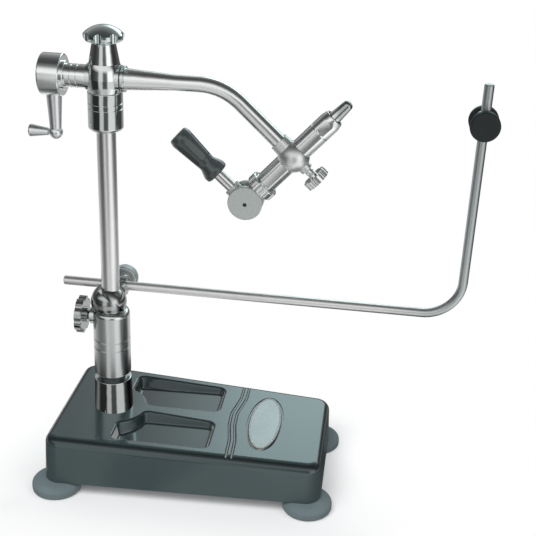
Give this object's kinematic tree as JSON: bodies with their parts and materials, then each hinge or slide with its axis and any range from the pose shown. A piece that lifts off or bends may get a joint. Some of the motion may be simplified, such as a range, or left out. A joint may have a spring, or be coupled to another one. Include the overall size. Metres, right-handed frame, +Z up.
{
  "type": "rotary fly tying vise",
  "caption": "Rotary fly tying vise with a cam-lever jaw on a bent arm, a cradle rod with a rest, and a heavy pedestal base with trays",
  "frame": {"origin": "on the table, under the middle of the whole object's box", "axes": "X from the post to the jaws and the cradle's upright, Y from the user to the back, Z up"},
  "size_m": [0.2387, 0.104, 0.2509],
  "materials": {
    "base_paint": "satin-gloss dark blue-grey paint",
    "grey_rubber": "matt grey rubber",
    "black_rubber": "matt black rubber",
    "chrome": "polished bright chrome",
    "dark_chrome": "polished dark chrome",
    "satin_steel": "satin turned steel",
    "cam_grey": "matt bead-blasted grey steel",
    "badge_metal": "bare brushed aluminium",
    "bronze": "plain brass and bronze",
    "zinc": "zinc-plated steel"
  },
  "bodies": {
    "base": {"base_casting": "base_paint", "badge_plate": "badge_metal", "rubber_feet": "grey_rubber", "foot_screws": "zinc", "post_collar": "dark_chrome", "post_gasket": "black_rubber", "post_sleeve": "chrome", "post_bolt": "zinc", "post_washer": "zinc", "stem_pad": "bronze"},
    "stem_lock": {"stem_thumbscrew": "chrome"},
    "stem_bar": {"stem": "satin_steel"},
    "clamp": {"cradle_clamp": "chrome", "cradle_shoe": "bronze"},
    "clamp_lock": {"cradle_knob": "chrome"},
    "cradle": {"cradle_arm": "satin_steel"},
    "rest": {"rest_barrel": "dark_chrome", "rest_disc_rear": "black_rubber"},
    "rest_lock": {"rest_disc_front": "black_rubber"},
    "head": {"head_housing": "dark_chrome", "bush_left": "bronze", "bush_right": "bronze", "head_cap": "dark_chrome", "brake_shoe": "bronze", "stem_grub_screw": "zinc"},
    "brake": {"top_knob": "chrome"},
    "rotor": {"rotary_arm": "chrome", "ring_collar": "dark_chrome", "crank_spacer": "dark_chrome", "crank_hub": "satin_steel", "hub_screw": "zinc", "crank_lever": "satin_steel", "handle_pin": "zinc", "jaw_ball": "chrome", "jaw_pad": "bronze"},
    "handle": {"crank_handle": "satin_steel"},
    "jaw_lock": {"jaw_thumbscrew": "chrome"},
    "jaw_head": {"jaw_barrel": "satin_steel", "jaw_spring": "zinc", "jaw_pins": "zinc"},
    "adjuster": {"adjusting_collar": "satin_steel"},
    "lower_jaw": {"jaw_lower": "satin_steel"},
    "upper_jaw": {"jaw_upper": "satin_steel"},
    "draw": {"draw_rod": "satin_steel", "cam_pin": "satin_steel"},
    "cam": {"cam_body": "cam_grey", "lever_rod": "satin_steel", "lever_grip": "black_rubber"}
  },
  "joints": [
    {"name": "stem_slide", "type": "slide", "parent": "base", "child": "stem_bar", "axis": [0, 0, 1], "range_m": [0, 0.04]},
    {"name": "stem_lock_turn", "type": "hinge", "parent": "base", "child": "stem_lock", "pos_m": [-0.09355, 0, 0.0899], "axis": [-1, 0, 0], "range_deg": [0, 540]},
    {"name": "head_swivel", "type": "hinge", "parent": "stem_bar", "child": "head", "pos_m": [-0.07855, 0, 0.1975], "axis": [0, 0, 1], "continuous": true},
    {"name": "cradle_swing", "type": "hinge", "parent": "stem_bar", "child": "clamp", "pos_m": [-0.07855, 0, 0.0996], "axis": [0, 0, 1], "range_deg": [-180, 45]},
    {"name": "clamp_lock_turn", "type": "hinge", "parent": "clamp", "child": "clamp_lock", "pos_m": [-0.07575, 0.017, 0.1053], "axis": [0, 1, 0], "range_deg": [0, 540]},
    {"name": "cradle_slide", "type": "slide", "parent": "clamp", "child": "cradle", "axis": [1, 0, 0], "range_m": [-0.03, 0.02]},
    {"name": "rest_slide", "type": "slide", "parent": "cradle", "child": "rest", "axis": [0, 0, 1], "range_m": [-0.07, 0.012]},
    {"name": "rest_lock_turn", "type": "hinge", "parent": "rest", "child": "rest_lock", "pos_m": [0.11175, 0.006, 0.2124], "axis": [0, -1, 0], "range_deg": [0, 540]},
    {"name": "brake_turn", "type": "hinge", "parent": "head", "child": "brake", "pos_m": [-0.07855, 0, 0.2423], "axis": [0, 0, 1], "range_deg": [0, 360]},
    {"name": "rotary_turn", "type": "hinge", "parent": "head", "child": "rotor", "pos_m": [-0.07855, 0, 0.2244], "axis": [1, 0, 0], "continuous": true},
    {"name": "handle_spin", "type": "hinge", "parent": "rotor", "child": "handle", "pos_m": [-0.11425, 0, 0.1942], "axis": [-1, 0, 0], "continuous": true},
    {"name": "jaw_lock_turn", "type": "hinge", "parent": "rotor", "child": "jaw_lock", "pos_m": [0.02901, 0, 0.18158], "axis": [0.7431, 0, -0.6691], "range_deg": [0, 360]},
    {"name": "jaw_slide", "type": "slide", "parent": "rotor", "child": "jaw_head", "axis": [0.6691, 0, 0.7431], "range_m": [-0.012, 0.012]},
    {"name": "adjuster_turn", "type": "hinge", "parent": "jaw_head", "child": "adjuster", "pos_m": [0.00315, 0, 0.17378], "axis": [0.6691, 0, 0.7431], "range_deg": [-180, 180]},
    {"name": "draw_slide", "type": "slide", "parent": "jaw_head", "child": "draw", "axis": [0.6691, 0, 0.7431], "range_m": [0, 0.00085]},
    {"name": "cam_turn", "type": "hinge", "parent": "draw", "child": "cam", "pos_m": [-0.00488, 0, 0.16486], "axis": [0, -1, 0], "range_deg": [0, 90]},
    {"name": "lower_jaw_rock", "type": "hinge", "parent": "jaw_head", "child": "lower_jaw", "pos_m": [0.03303, 0, 0.20487], "axis": [0, 1, 0], "range_deg": [0, 2]},
    {"name": "upper_jaw_rock", "type": "hinge", "parent": "jaw_head", "child": "upper_jaw", "pos_m": [0.03095, 0, 0.20674], "axis": [0, -1, 0], "range_deg": [0, 2]}
  ],
  "couplings": [
    {"joint": "cam_turn", "follows": "draw_slide", "rad_per_m": 1848},
    {"joint": "lower_jaw_rock", "follows": "draw_slide", "rad_per_m": 41.067},
    {"joint": "upper_jaw_rock", "follows": "draw_slide", "rad_per_m": 41.067}
  ]
}
